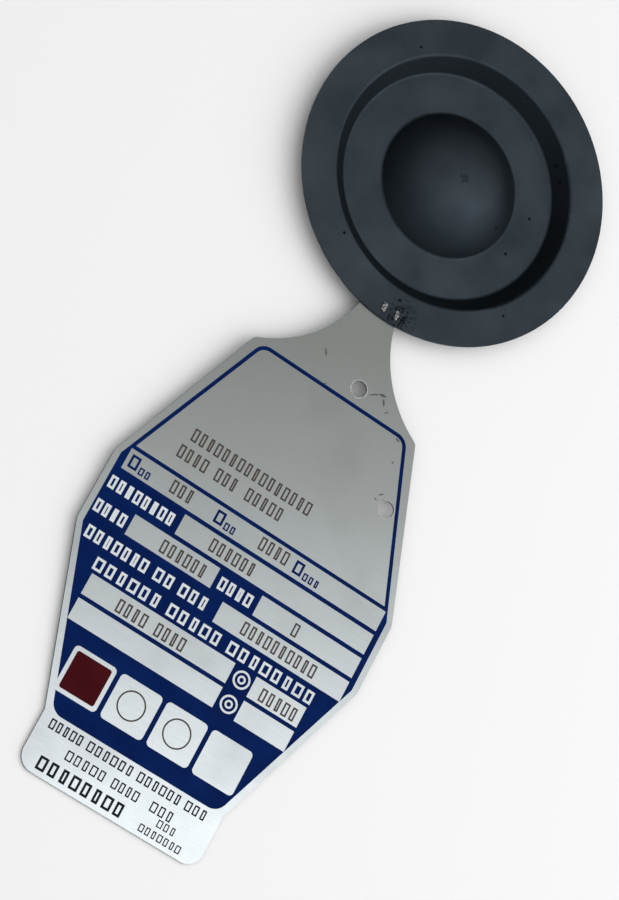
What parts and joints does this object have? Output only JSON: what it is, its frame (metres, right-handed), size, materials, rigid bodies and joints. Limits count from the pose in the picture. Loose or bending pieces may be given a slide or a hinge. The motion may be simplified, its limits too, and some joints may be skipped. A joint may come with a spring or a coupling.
{
  "type": "rupture disc",
  "caption": "Prebulged metal rupture disc with a flat clamping rim, a conical step and a dome, tack-welded to the neck of a flat printed rating tag with two tie holes.",
  "frame": {"origin": "on the disc's axis, in the plane of the seat ring's underside", "axes": "+Z along the disc's axis towards the dome's crown, -Y from the disc along the tag, +X to the right across the tag's printed face"},
  "size_m": [0.0576, 0.1527, 0.0063],
  "materials": {
    "disc_metal": "dull dark heat-tinted nickel alloy",
    "tag_metal": "satin rolled strip",
    "weld_metal": "bright as welded",
    "blue_ink": "semi-gloss navy printing ink",
    "red_ink": "semi-gloss dark red printing ink"
  },
  "bodies": {
    "root": {"disc": "disc_metal", "tag_plate": "tag_metal", "tack_welds": "weld_metal", "blue_print": "blue_ink", "red_panel": "red_ink"}
  },
  "joints": []
}
